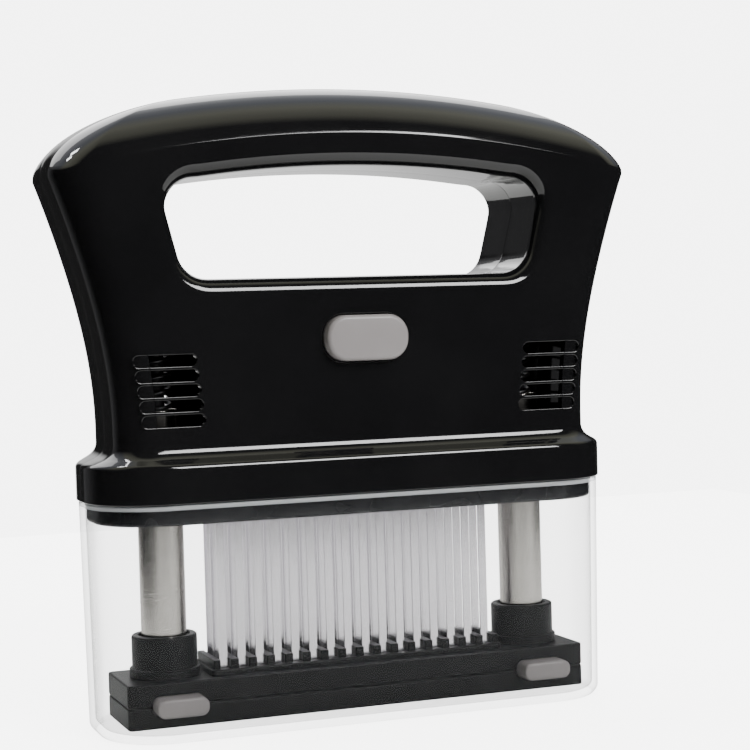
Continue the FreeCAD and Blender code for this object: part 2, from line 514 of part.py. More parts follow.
def coil(x, z, y0, y1, rm, rw, turns):
    hx = Part.makeHelix((y1 - y0) / turns, y1 - y0, rm)
    ps = Part.BRepOffsetAPI.MakePipeShell(Part.Wire(hx.Edges))
    ps.setFrenetMode(True); ps.add(Part.Wire(Part.makeCircle(rw, V(rm, 0, 0), V(0, 1, 0)))); ps.build(); ps.makeSolid()
    c = ps.shape(); c.rotate(V(0, 0, 0), V(1, 0, 0), -90); c.translate(V(x, y0, z))
    return c


feature("lock_spring", coil(0, D["lock_z"], -15.0, 0.5, 4.3, 0.4, 7))
for s, n in ((-1, "left"), (1, "right")):
    feature("foot_button_spring_" + n, coil(s * D["foot_button_x"], D["foot_button_z"], -9.36, -7.14, 1.85, 0.22, 2.5))

# ---------------------------------------------------------------- check and write
doc.recompute()
os.makedirs("parts", exist_ok=True)
for f in os.listdir("parts"):
    if f.endswith(".step"):
        os.remove(os.path.join("parts", f))
bad = []
for o in doc.Objects:
    st = [x for x in o.State if x in ("Invalid", "Error")]
    if st:
        bad.append((o.Name, st))
for n, o in sorted(OUT.items()):
    s = o.Shape
    if s.isNull() or not s.isValid():
        bad.append((n, "shape")); continue
    print("%-28s solids %2d  vol %10.1f  box %s" % (n, len(s.Solids), s.Volume, [round(v, 1) for v in (s.BoundBox.XMin, s.BoundBox.YMin, s.BoundBox.ZMin, s.BoundBox.XMax, s.BoundBox.YMax, s.BoundBox.ZMax)]))
if bad:
    raise SystemExit("failed objects: %s" % bad)
for n, o in sorted(OUT.items()):
    o.Shape.exportStep("parts/%s.step" % n)
print("wrote", len(OUT), "nodes")
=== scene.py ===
import bpy, bmesh, math, json
import numpy as np
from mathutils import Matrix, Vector
from mathutils.geometry import delaunay_2d_cdt


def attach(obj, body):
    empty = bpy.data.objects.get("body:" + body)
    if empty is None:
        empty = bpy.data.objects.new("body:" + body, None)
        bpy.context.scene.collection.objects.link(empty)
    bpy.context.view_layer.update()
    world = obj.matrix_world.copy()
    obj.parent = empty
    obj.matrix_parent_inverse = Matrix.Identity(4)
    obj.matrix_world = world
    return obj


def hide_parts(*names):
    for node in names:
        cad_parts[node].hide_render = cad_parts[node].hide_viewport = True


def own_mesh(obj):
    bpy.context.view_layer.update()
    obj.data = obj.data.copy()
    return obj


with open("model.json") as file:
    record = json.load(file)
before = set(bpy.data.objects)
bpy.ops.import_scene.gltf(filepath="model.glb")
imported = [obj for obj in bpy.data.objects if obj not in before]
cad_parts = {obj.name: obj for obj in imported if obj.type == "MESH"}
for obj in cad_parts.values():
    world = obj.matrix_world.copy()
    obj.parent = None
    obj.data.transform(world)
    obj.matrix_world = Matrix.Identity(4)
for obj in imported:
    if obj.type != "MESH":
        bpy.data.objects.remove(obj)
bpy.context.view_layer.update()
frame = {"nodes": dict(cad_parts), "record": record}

MM = 0.001

# ------------------------------------------------------------------ mesh building, in mm


class Shape:
    """faces in smooth groups; a flat face gives its own normal to the soft edges round it"""

    def __init__(self):
        self.v, self.f, self.g, self.flat = [], [], [], []

    def grid(self, rows, g, close=False, flat=0):
        b, n = len(self.v), len(rows[0])
        for r in rows:
            self.v.extend([(float(p[0]), float(p[1]), float(p[2])) for p in r])
        for i in range(len(rows) - 1):
            for j in range(n if close else n - 1):
                a, c = b + i * n + j, b + i * n + (j + 1) % n
                self.f.append((a, c, c + n, a + n)); self.g.append(g); self.flat.append(flat)

    def poly(self, outer, holes, lift, g):
        """plane polygon with holes, given in two of its axes"""
        pts, edges = [], []
        for lp in [outer] + holes:
            b = len(pts)
            pts += [Vector((p[0], p[1])) for p in lp]
            edges += [(b + i, b + (i + 1) % len(lp)) for i in range(len(lp))]
        r = delaunay_2d_cdt(pts, edges, [], 0, 1e-7)
        vs, fs = r[0], r[2]
        V2 = np.array([(p.x, p.y) for p in vs])
        T = np.array([f for f in fs if len(f) == 3])
        cen = V2[T].mean(axis=1)
        keep = inside(cen, np.array(outer, float))
        for h in holes:
            keep &= ~inside(cen, np.array(h, float))
        b = len(self.v)
        self.v.extend([lift(p[0], p[1]) for p in V2])
        for t in T[keep]:
            self.f.append((b + int(t[0]), b + int(t[1]), b + int(t[2]))); self.g.append(g); self.flat.append(1)

    def fan(self, ring, g, flat=1):
        b = len(self.v); self.v.extend([tuple(p) for p in ring])
        self.f.append(tuple(range(b, b + len(ring)))); self.g.append(g); self.flat.append(flat)

    def add(self, other, move=(0, 0, 0), mirror=None):
        b = len(self.v); k = (max(self.g) + 1) if self.g else 0
        for p in other.v:
            q = [p[0], p[1], p[2]]
            if mirror is not None:
                q[mirror] = -q[mirror]
            self.v.append((q[0] + move[0], q[1] + move[1], q[2] + move[2]))
        self.f += [tuple(b + i for i in f) for f in other.f]
        self.g += [k + g for g in other.g]; self.flat += list(other.flat)

    def build(self, name, mat, body, slot, replaces=(), weld=0.0025):
        bm = bmesh.new()
        vs = [bm.verts.new((p[0] * MM, p[1] * MM, p[2] * MM)) for p in self.v]
        lg = bm.faces.layers.int.new("g"); lf = bm.faces.layers.int.new("flat")
        for f, g, fl in zip(self.f, self.g, self.flat):
            try:
                face = bm.faces.new([vs[i] for i in f])
            except ValueError:
                continue
            face[lg] = g; face[lf] = fl
        bmesh.ops.remove_doubles(bm, verts=bm.verts, dist=weld * MM)
        dead = [f for f in bm.faces if f.calc_area() < 1e-13]
        if dead:
            bmesh.ops.delete(bm, geom=dead, context="FACES")
        loose = [v for v in bm.verts if not v.link_faces]
        if loose:
            bmesh.ops.delete(bm, geom=loose, context="VERTS")
        bmesh.ops.recalc_face_normals(bm, faces=bm.faces)
        bm.verts.index_update(); bm.faces.index_update()
        acc, fixed = {}, {}
        for f in bm.faces:
            f.smooth = True
            n, a, g = f.normal.copy(), f.calc_area(), f[lg]
            for v in f.verts:
                k = (v.index, g)
                if f[lf]:
                    fixed[k] = n
                acc[k] = acc.get(k, Vector((0, 0, 0))) + n * a
        norms = []
        for f in bm.faces:
            g = f[lg]
            for l in f.loops:
                k = (l.vert.index, g)
                n = f.normal if f[lf] else (fixed.get(k) or acc[k])
                if n.length < 1e-20:
                    n = f.normal
                norms.append(tuple(n.normalized()))
        open_edges = sum(1 for e in bm.edges if len(e.link_faces) != 2)
        me = bpy.data.meshes.new(name)
        bm.faces.layers.int.remove(lg)
        bm.faces.layers.int.remove(bm.faces.layers.int["flat"])
        bm.to_mesh(me); bm.free()
        me.normals_split_custom_set(norms)
        print("mesh %-22s faces %6d  open %d" % (name, len(me.polygons), open_edges))
        return place(bpy.data.objects.new(name, me), mat, body, replaces)


def soften(me, angle=38.0):
    """each corner takes the area-weighted direction of the faces near its own"""
    bm = bmesh.new(); bm.from_mesh(me)
    bmesh.ops.remove_doubles(bm, verts=bm.verts, dist=2e-6)
    dead = [f for f in bm.faces if f.calc_area() < 1e-13]
    if dead:
        bmesh.ops.delete(bm, geom=dead, context="FACES")
    bmesh.ops.recalc_face_normals(bm, faces=bm.faces)
    bm.verts.index_update(); bm.faces.index_update()
    ca = math.cos(math.radians(angle)); norms = []
    area = {f.index: f.calc_area() for f in bm.faces}
    for f in bm.faces:
        f.smooth = True
        for l in f.loops:
            n = Vector((0, 0, 0))
            for q in l.vert.link_faces:
                if q.normal.dot(f.normal) > ca:
                    n += q.normal * area[q.index]
            norms.append(tuple((n if n.length > 1e-20 else f.normal).normalized()))
    bm.to_mesh(me); bm.free()
    me.normals_split_custom_set(norms)


def carve(shape, cutters, name, mat, body, replaces=(), angle=38.0):
    """shape with other shapes cut out of it"""
    def raw(s, nm):
        bm = bmesh.new()
        vs = [bm.verts.new((p[0] * MM, p[1] * MM, p[2] * MM)) for p in s.v]
        for f in s.f:
            try:
                bm.faces.new([vs[i] for i in f])
            except ValueError:
                pass
        bmesh.ops.remove_doubles(bm, verts=bm.verts, dist=2.5e-6)
        bmesh.ops.recalc_face_normals(bm, faces=bm.faces)
        me = bpy.data.meshes.new(nm); bm.to_mesh(me); bm.free()
        o = bpy.data.objects.new(nm, me); bpy.context.scene.collection.objects.link(o)
        return o
    a = raw(shape, name)
    cs = [raw(c, name + "_cut") for c in cutters]
    for c in cs:
        m = a.modifiers.new("cut", "BOOLEAN"); m.object = c; m.solver = "EXACT"; m.operation = "DIFFERENCE"
    dg = bpy.context.evaluated_depsgraph_get()
    me = bpy.data.meshes.new_from_object(a.evaluated_get(dg))
    for o in cs + [a]:
        bpy.data.objects.remove(o, do_unlink=True)
    soften(me, angle)
    print("mesh %-22s faces %6d" % (name, len(me.polygons)))
    return place(bpy.data.objects.new(name, me), mat, body, replaces)


def slab(hw, hd, r, z0, z1, e=0.5, cx=0.0, cy=0.0, nc=8, n=4):
    """block with rounded corners and soft edges"""
    s = Shape(); m = 0.92 * r
    e = min(e, 0.85 * m)
    pr = rounded([(-m, z0), (0, z0), (0, z1), (-m, z1)], [0, e, e, 0], n)
    rows = [ring(hw + d, hd + d, r + d, z, nc, cx=cx, cy=cy) for d, z in pr]
    s.grid(rows, 0, close=True)
    s.fan(rows[0], 0); s.fan(rows[-1], 0)
    return s


def stud(cx, cz, hw, hh, y0, y1, n=14, sq=1.0):
    """straight-sided bar along y"""
    s = Shape()
    o = stad(cx, cz, hw, hh, n, sq)
    rows = [[(x, y, z) for x, z in o] for y in (y0, y1)]
    s.grid(rows, 0, close=True); s.fan(rows[0], 1); s.fan(rows[1], 2)
    return s


def place(ob, mat, body, replaces=()):
    bpy.context.scene.collection.objects.link(ob)
    ob.data.materials.append(mat)
    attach(ob, body)
    if replaces:
        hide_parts(*replaces)
    return ob


def inside(P, poly):
    x, y = P[:, 0], P[:, 1]
    c = np.zeros(len(P), bool)
    n = len(poly)
    for i in range(n):
        x1, y1 = poly[i]; x2, y2 = poly[(i + 1) % n]
        m = (y1 > y) != (y2 > y)
        if m.any():
            xs = x1 + (y - y1) * (x2 - x1) / ((y2 - y1) if y2 != y1 else 1e-12)
            c ^= m & (x < xs)
    return c


def rounded(pts, radii, n=6):
    """open outline with its inner corners rounded"""
    out = [np.array(pts[0], float)]
    for i in range(1, len(pts) - 1):
        p, a, b = (np.array(q, float) for q in (pts[i], pts[i - 1], pts[i + 1]))
        r = radii[i]
        if r <= 0:
            out.append(p); continue
        u, w = a - p, b - p
        lu, lw = np.linalg.norm(u), np.linalg.norm(w); u /= lu; w /= lw
        half = math.acos(max(-1, min(1, float(u @ w)))) / 2
        t = min(r / math.tan(half), lu * 0.49, lw * 0.49); r = t * math.tan(half)
        c = p + (u + w) / np.linalg.norm(u + w) * (r / math.sin(half))
        s, e = p + u * t - c, p + w * t - c
        a0, a1 = math.atan2(s[1], s[0]), math.atan2(e[1], e[0])
        d = (a1 - a0 + math.pi) % (2 * math.pi) - math.pi
        for k in range(n + 1):
            an = a0 + d * k / n
            out.append(c + r * np.array((math.cos(an), math.sin(an))))
    out.append(np.array(pts[-1], float))
    return out


def ring(hw, hd, r, z, nc=10, nf=1, ns=1, cx=0.0, cy=0.0):
    """closed level rounded rectangle"""
    P = []
    for (sx, sy, a0) in ((1, -1, 270), (1, 1, 0), (-1, 1, 90), (-1, -1, 180)):
        c = (cx + sx * (hw - r), cy + sy * (hd - r))
        for k in range(nc + 1):
            a = math.radians(a0 + 90 * k / nc)
            P.append((c[0] + r * math.cos(a), c[1] + r * math.sin(a), z))
    return P


def circle(x, y, z, r, n=64):
    return [(x + r * math.cos(2 * math.pi * k / n), y + r * math.sin(2 * math.pi * k / n), z) for k in range(n)]


def lathe(profile, x=0.0, y=0.0, n=96, g=0, groups=None):
    """closed profile (radius, height) turned round an upright axis"""
    s = Shape()
    for i in range(len(profile) - 1):
        (r0, z0), (r1, z1) = profile[i], profile[i + 1]
        s.grid([circle(x, y, z0, r0, n), circle(x, y, z1, r1, n)], groups[i] if groups else g, close=True)
    return s


def turn(points, radii, x, y, n=96, seg=5):
    """turned solid from a closed outline; straight runs are flat, rounded corners are soft"""
    pts = rounded(points, radii, seg)
    return lathe([tuple(p) for p in pts], x, y, n)


def stad(cx, cz, hw, hh, n=16, sq=1.0):
    """outline with round ends in x,z; sq below 1 gives a rounded rectangle"""
    r = hh * sq
    P = []
    for (sx, sz, a0) in ((1, -1, 270), (1, 1, 0), (-1, 1, 90), (-1, -1, 180)):
        for k in range(n + 1):
            a = math.radians(a0 + 90 * k / n)
            P.append((cx + sx * (hw - r) + r * math.cos(a), cz + sz * (hh - r) + r * math.sin(a)))
    Q = [P[0]]
    for p in P[1:]:
        if math.hypot(p[0] - Q[-1][0], p[1] - Q[-1][1]) > 1e-6:
            Q.append(p)
    if math.hypot(Q[0][0] - Q[-1][0], Q[0][1] - Q[-1][1]) < 1e-6:
        Q.pop()
    return Q


# ------------------------------------------------------------------ materials


def new_mat(name, color, rough, metal=0.0, spec=0.5, ior=1.5):
    m = bpy.data.materials.new(name); m.use_nodes = True
    nt = m.node_tree; b = nt.nodes["Principled BSDF"]
    b.inputs["Base Color"].default_value = (*color, 1)
    b.inputs["Roughness"].default_value = rough
    b.inputs["Metallic"].default_value = metal
    b.inputs["IOR"].default_value = ior
    if "Specular IOR Level" in b.inputs:
        b.inputs["Specular IOR Level"].default_value = spec
    return m, nt, b


def coords(nt, scale=(1, 1, 1)):
    tc = nt.nodes.new("ShaderNodeTexCoord"); mp = nt.nodes.new("ShaderNodeMapping")
    mp.inputs["Scale"].default_value = scale
    nt.links.new(tc.outputs["Object"], mp.inputs["Vector"])
    return mp.outputs["Vector"]


def noise(nt, vec, scale, detail=4.0, rough=0.55):
    n = nt.nodes.new("ShaderNodeTexNoise")
    n.inputs["Scale"].default_value = scale; n.inputs["Detail"].default_value = detail; n.inputs["Roughness"].default_value = rough
    nt.links.new(vec, n.inputs["Vector"])
    return n.outputs["Fac"]


def ramp(nt, fac, a, b, lo=0.0, hi=1.0):
    m = nt.nodes.new("ShaderNodeMapRange")
    m.inputs["From Min"].default_value = lo; m.inputs["From Max"].default_value = hi
    m.inputs["To Min"].default_value = a; m.inputs["To Max"].default_value = b
    nt.links.new(fac, m.inputs["Value"])
    return m.outputs["Result"]


def mixc(nt, fac, a, b):
    m = nt.nodes.new("ShaderNodeMix"); m.data_type = "RGBA"
    m.inputs[6].default_value = (*a, 1); m.inputs[7].default_value = (*b, 1)
    nt.links.new(fac, m.inputs[0])
    return m.outputs[2]


def bump(nt, b, height, strength, dist):
    n = nt.nodes.new("ShaderNodeBump")
    n.inputs["Strength"].default_value = strength; n.inputs["Distance"].default_value = dist
    nt.links.new(height, n.inputs["Height"])
    nt.links.new(n.outputs["Normal"], b.inputs["Normal"])
    return n


def add(nt, a, b, ka=1.0, kb=1.0):
    def mul(x, k):
        m = nt.nodes.new("ShaderNodeMath"); m.operation = "MULTIPLY"; m.inputs[1].default_value = k
        nt.links.new(x, m.inputs[0]); return m.outputs[0]
    s = nt.nodes.new("ShaderNodeMath"); s.operation = "ADD"
    nt.links.new(mul(a, ka), s.inputs[0]); nt.links.new(mul(b, kb), s.inputs[1])
    return s.outputs[0]


def moulded(name, c0, c1, r0, r1, grain=900.0, grain_d=0.00002, spec=0.5, scratch=0.0):
    """moulded plastic: slight flow mottling, fine grain, faint handling marks"""
    m, nt, b = new_mat(name, c0, r0, 0.0, spec)
    v = coords(nt)
    big = noise(nt, v, 34.0, 3.0)
    fine = noise(nt, v, grain, 3.0)
    nt.links.new(mixc(nt, ramp(nt, big, 0, 1, 0.35, 0.65), c0, c1), b.inputs["Base Color"])
    rr = ramp(nt, big, r0, r1, 0.3, 0.7)
    if scratch:
        sv = coords(nt, (1.0, 1.0, 9.0))
        sc = ramp(nt, noise(nt, sv, 260.0, 2.0), 0.0, scratch, 0.62, 0.74)
        rr = add(nt, rr, sc)
    nt.links.new(rr, b.inputs["Roughness"])
    bump(nt, b, fine, 0.35, grain_d)
    return m


def steel(name, c0, c1, r0, r1, stretch, scale=500.0, depth=0.00001):
    m, nt, b = new_mat(name, c0, r0, 1.0)
    v = coords(nt, stretch)
    lines = noise(nt, v, scale, 5.0, 0.6)
    cloud = noise(nt, coords(nt), 60.0, 3.0)
    nt.links.new(mixc(nt, ramp(nt, lines, 0, 1, 0.3, 0.7), c0, c1), b.inputs["Base Color"])
    nt.links.new(add(nt, ramp(nt, lines, r0, r1, 0.3, 0.7), ramp(nt, cloud, -0.03, 0.03)), b.inputs["Roughness"])
    bump(nt, b, lines, 0.4, depth)
    return m


M = {}
M["housing"] = moulded("gloss_black", (0.0045, 0.0045, 0.005), (0.006, 0.006, 0.0065), 0.045, 0.085, 300.0, 0.000004, 0.5, 0.05)
M["skirt"] = moulded("skirt_black", (0.009, 0.0092, 0.011), (0.012, 0.012, 0.014), 0.16, 0.24, 700.0, 0.0000008, 0.4)
M["foot"] = moulded("foot_charcoal", (0.0055, 0.0055, 0.006), (0.0075, 0.0075, 0.0082), 0.30, 0.38, 900.0, 0.0000008, 0.13)
M["buttons"] = moulded("grey_button", (0.235, 0.218, 0.218), (0.255, 0.238, 0.238), 0.34, 0.42, 3600.0, 0.000004)
M["inner_plastic"] = moulded("dark_inner", (0.018, 0.018, 0.02), (0.024, 0.024, 0.026), 0.42, 0.5, 2400.0, 0.000006)
# near-black bushings: painted shade, so the inside seen through the vents reads dark
M["bushings"] = moulded("bushing_dark_painted_shade", (0.02, 0.02, 0.021), (0.026, 0.026, 0.027), 0.34, 0.4, 2600.0, 0.000005)
M["tubes"] = steel("satin_tube", (0.60, 0.575, 0.54), (0.66, 0.635, 0.60), 0.20, 0.27, (1.0, 1.0, 14.0), 260.0)
M["blades"] = steel("polished_blade", (0.83, 0.81, 0.85), (0.89, 0.87, 0.91), 0.15, 0.20, (8.0, 8.0, 0.2), 160.0, 0.000002)
M["fasteners"] = steel("zinc_fastener", (0.5, 0.5, 0.51), (0.58, 0.58, 0.59), 0.3, 0.4, (1.0, 1.0, 1.0), 900.0)
M["springs"] = steel("spring_steel", (0.10, 0.10, 0.105), (0.14, 0.14, 0.145), 0.34, 0.42, (1.0, 1.0, 1.0), 700.0)


def clear(name, color, lo, hi, power, r0, r1):
    """clear moulded plastic: nearly unseen face on, denser where it is seen edge on; the colour given is painted onto
    the edges as outlines, standing in for the light bent and reflected there
    """
    m, nt, b = new_mat(name, color, r0, 0.0, 0.5, 1.49)
    lw = nt.nodes.new("ShaderNodeLayerWeight"); lw.inputs["Blend"].default_value = 0.5
    pw = nt.nodes.new("ShaderNodeMath"); pw.operation = "POWER"; pw.inputs[1].default_value = power
    nt.links.new(lw.outputs["Facing"], pw.inputs[0])
    v = coords(nt)
    haze = ramp(nt, noise(nt, v, 30.0, 3.0), -0.004, 0.006, 0.3, 0.7)
    nt.links.new(add(nt, ramp(nt, pw.outputs[0], lo, hi), haze), b.inputs["Alpha"])
    fine = noise(nt, v, 220.0, 2.0)
    nt.links.new(ramp(nt, fine, r0, r1), b.inputs["Roughness"])
    bump(nt, b, fine, 0.2, 0.000004)
    return m


# dark veil that thickens edge on: painted dark outlines standing in for the light bent at the cover's edges
M["cover"] = clear("clear_plastic", (0.03, 0.032, 0.034), 0.105, 0.66, 3.4, 0.03, 0.05)
# pale grey rim: a painted highlight, the bright line along the cover's top edge under the collar
M["cover_rim"] = clear("rim_painted_highlight", (0.62, 0.64, 0.66), 0.42, 0.9, 2.0, 0.12, 0.2)

# ------------------------------------------------------------------ handle housing
ZW = np.array([(70.0, 71.3), (84.5, 70.7), (92.0, 71.0), (98.0, 71.5), (106.5, 72.7), (115.0, 74.2), (122.0, 75.9), (132.5, 79.0), (144.5, 82.6), (156.0, 86.8)])
WP = np.polyfit((ZW[:, 0] - 110) / 45, ZW[:, 1], 5)


def wz(z):
    return float(np.polyval(WP, (z - 110) / 45))


def arc(x, R, top):
    return top - R + math.sqrt(R * R - x * x)


def zcr(x):
    return arc(x, 340.0, 166.1)


NC, NF, NS, NK, NR = 14, 64, 3, 44, 22
TH = [math.radians(90 * k / NC) for k in range(NC + 1)]
YF = [0.02, 0.26]


def left_part(hw, hd, r, seam):
    """from the parting plane round the left end to the front face, front half"""
    P = []
    for k, y in enumerate(YF + [YF[1] + (hd - r - YF[1]) * (j + 1) / NS for j in range(NS)]):
        P.append((-hw + (seam if k == 0 else 0.0), -y))
    for t in TH[1:]:
        P.append((-(hw - r) - r * math.cos(t), -(hd - r) - r * math.sin(t)))
    return P


NL = len(YF) + NS + NC


def half_ring(hw, hd, r, seam=0.0):
    L = left_part(hw, hd, r, seam)
    F = [(-(hw - r) + 2 * (hw - r) * j / NF, -hd) for j in range(1, NF)]
    return L + F + [(-x, y) for x, y in reversed(L)]


NT = 2 * NL + NF - 1
SHOULDER = rounded([(0.0, 84.0), (0.0, 78.6), (4.1, 75.5), (4.1, 65.2), (2.0, 65.2)], [0, 4.6, 2.0, 0.3, 0], 12)
Z0 = 84.0


def hole_base():
    """outline of the hand hole, anticlockwise from the lower right corner, with its outward directions"""
    def arc3(p1, p2, p3, k):
        (x1, y1), (x2, y2), (x3, y3) = p1, p2, p3
        d = 2 * (x1 * (y2 - y3) + x2 * (y3 - y1) + x3 * (y1 - y2))
        ux = ((x1 ** 2 + y1 ** 2) * (y2 - y3) + (x2 ** 2 + y2 ** 2) * (y3 - y1) + (x3 ** 2 + y3 ** 2) * (y1 - y2)) / d
        uy = ((x1 ** 2 + y1 ** 2) * (x3 - x2) + (x2 ** 2 + y2 ** 2) * (x1 - x3) + (x3 ** 2 + y3 ** 2) * (x2 - x1)) / d
        r = math.hypot(x1 - ux, y1 - uy)
        a0 = math.atan2(y1 - uy, x1 - ux); a1 = math.atan2(y3 - uy, x3 - ux)
        dd = (a1 - a0 + math.pi) % (2 * math.pi) - math.pi
        return [(ux + r * math.cos(a0 + dd * j / k), uy + r * math.sin(a0 + dd * j / k)) for j in range(k + 1)]
    tz = arc(46.5, 331.0, 157.1)
    right = arc3((44.5, 126.0), (49.8, 128.0), (52.3, 131.6), 40)
    right += [(52.3 + 3.5 * j / 40, 131.6 + 14.0 * j / 40) for j in range(1, 40)]
    right += arc3((55.8, 145.6), (53.3, 151.3), (46.5, tz), 40)
    top = [(46.5 - 93.0 * j / 160, arc(46.5 - 93.0 * j / 160, 331.0, 157.1)) for j in range(1, 160)]
    left = [(-x, z) for x, z in reversed(right)]
    bottom = [(-44.5 + 89.0 * j / 160, 126.0) for j in range(1, 160)]
    P = np.array(right + top + left + bottom)
    # even spacing, then soften the joins between the runs
    d = np.r_[0, np.cumsum(np.hypot(*(np.roll(P, -1, 0) - P).T))]
    Q = np.vstack([P, P[:1]])
    n = 900
    u = np.linspace(0, d[-1], n, endpoint=False)
    P = np.stack([np.interp(u, d, Q[:, 0]), np.interp(u, d, Q[:, 1])], 1)
    for _ in range(26):
        P = 0.5 * P + 0.25 * (np.roll(P, 1, 0) + np.roll(P, -1, 0))
    t = np.roll(P, -1, 0) - np.roll(P, 1, 0)
    for _ in range(10):
        t = 0.5 * t + 0.25 * (np.roll(t, 1, 0) + np.roll(t, -1, 0))
    t /= np.linalg.norm(t, axis=1)[:, None]
    N = np.stack([t[:, 1], -t[:, 0]], 1)
    # points crowd into the corners
    cur = np.abs(np.arctan2(np.roll(t, -1, 0)[:, 1], np.roll(t, -1, 0)[:, 0]) - np.arctan2(t[:, 1], t[:, 0]))
    cur = np.minimum(cur, 2 * np.pi - cur)
    w = np.cumsum(0.35 / n + cur / cur.sum()); w /= w[-1]
    idx = np.searchsorted(w, (np.arange(176) + 0.5) / 176)
    idx = np.unique(np.clip(idx, 0, n - 1))
    return P[idx], N[idx]


HB, HN = hole_base()


def hand_hole(off):
    return [tuple(q) for q in HB + HN * off]


SCREWS = [(-68.2, 149.0), (68.2, 149.0), (-62.8, 128.0), (62.8, 128.0), (-27.0, 94.0), (27.0, 94.0)]
VENTS = [(s * (57.8 - 0.5 * i), 104.0 - 4.1 * i) for s in (-1, 1) for i in range(5)]
BTN = (0.0, 108.6)


def shell(side):
    """one moulded half; made as the front half, turned over for the rear"""
    T = 2.4
    s = Shape()
    G_OUT, G_HOLE, G_IN, G_RIM, G_VENT = 0, 0, 2, 3, 0

    def skin(t):
        """all rows of one skin, from the collar's foot up to the crest"""
        hd, rc = 20.5 - t, 10.0 - t
        seam = 0.08 if t == 0 else 0.0
        rows = []
        w0 = wz(Z0)
        for d, z in reversed(SHOULDER[1:]):
            f = d / 4.1
            rows.append([(x, y, z) for x, y in half_ring(w0 + (77.9 - w0) * f - t, 20.5 + 4.1 * f - t, 10 + 10.4 * f - t, seam)])
        low = rows + [[(x, y, Z0) for x, y in half_ring(w0 - t, hd, rc, seam)]]
        drop = 0.5 if t == 0 else 0.4
        # foot of the crown for each point of the ring
        hw = wz(zcr(wz(156.0) - rc) - drop)
        top, P = [], []
        for i in range(NT):
            hwi, z = hw - t, 0
            for _ in range(6):
                x, y = half_ring(hwi, hd, rc, seam)[i] if not (NL <= i < NT - NL) else (-(hw - t - rc) + 2 * (hw - t - rc) * (i - NL + 1) / NF, -hd)
                z = zcr(x) - drop
                if NL <= i < NT - NL:
                    break
                hwi = wz(z) - t
            top.append((x, y, z)); P.append((x, y))
        body = []
        for k in range(NK + 1):
            row = []
            for i in list(range(NL)) + list(range(NT - NL, NT)):
                z = Z0 + (top[i][2] - Z0) * k / NK
                x, y = half_ring(wz(z) - t, hd, rc, seam)[i] if k < NK else top[i][:2]
                row.append((x, y, z))
            body.append(row)
        # crown: a flat arch across, a long rounded end along
        R, XA = 21.6 - t, 45.0
        H0 = R - 6.8
        sv = [1.0, 0.9985, 0.9955, 0.9905] + [math.sin(math.radians(82.0 * (1 - k / NR))) for k in range(NR)] + [0.012, 0.0]
        crown = []
        for sq in sv:
            K = (math.sqrt(max(R * R - (hd * sq) ** 2, 0)) - 6.8) / H0
            K1 = (math.sqrt(R * R - hd * hd) - 6.8) / H0
            E = (1 - sq * sq) ** 0.41 * (1 - K1) + K1
            row = []
            for i in range(NT):
                px, py = P[i]
                ax = max(-XA, min(XA, px))
                x, y = ax + (px - ax) * sq, py * sq
                wy = min(1.0, abs(py) / hd) ** 2
                h = H0 * (K1 + 0.965 * (K * wy + E * (1 - wy) - K1))
                z = zcr(x) + h
                if seam and (i in (0, NT - 1) or sq == 0.0):
                    n = Vector((x - ax, 0, h + 6.8)).normalized()
                    x -= n.x * seam; z -= n.z * seam
                y = min(y, -0.02)
                row.append((x, y, z))
            crown.append(row)
        return low, body, top, crown

    lo, bo, to, co = skin(0.0)
    li, bi, ti, ci = skin(T)
    for (low, body, top, crown, g) in ((lo, bo, to, co, G_OUT), (li, bi, ti, ci, G_IN)):
        s.grid(low, g)
        s.grid([r[:NL] for r in body], g)
        s.grid([r[NL:] for r in body], g)
        s.grid([top, crown[0]], g)
        s.grid(crown, g)
    # foot of the collar
    s.grid([lo[0], li[0]], G_RIM)
    # parting plane
    def rim(low, body, crown):
        a = [r[0] for r in low] + [r[0] for r in body[1:]] + [r[0] for r in crown]
        b = [r[-1] for r in low] + [r[-1] for r in body[1:]] + [r[-1] for r in crown]
        return a + crown[-1][1:-1] + list(reversed(b))
    ra, rb = rim(lo, bo, co), rim(li, bi, ci)
    s.grid([ra, rb], G_RIM)
    # hand hole
    fil = 4.3
    rings = []
    for k in range(11):
        a = math.radians(9 * k)
        rings.append([(x, -20.5 + fil * (1 - math.cos(a)), z) for x, z in hand_hole(fil * (1 - math.sin(a)))])
    for y in (-11.0, -5.5, -0.26):
        rings.append([(x, y, z) for x, z in hand_hole(0.0)])
    rings.append([(x, -0.02, z) for x, z in hand_hole(0.08)])
    s.grid(rings, G_HOLE, close=True)
    hin = [[(x, y, z) for x, z in hand_hole(T)] for y in (-0.02, -20.5 + T)]
    s.grid([rings[-1], hin[0]], G_RIM, close=True)
    s.grid(hin, G_IN, close=True)
    # outer and inner faces
    def outline(body, top, hd, rc, t):
        w0 = wz(Z0) - t
        bot = [(-(w0 - rc) + 2 * (w0 - rc) * j / NF, Z0) for j in range(NF + 1)]
        right = [(r[NL][0], r[NL][2]) for r in body[1:]]
        tp = [(p[0], p[2]) for p in reversed(top[NL:NT - NL])]
        left = [(r[NL - 1][0], r[NL - 1][2]) for r in reversed(body[1:])]
        return bot + right + tp + left
    holes_o = [[(x, z) for x, z in hand_hole(fil)]]
    holes_i = [[(x, z) for x, z in hand_hole(T)]]

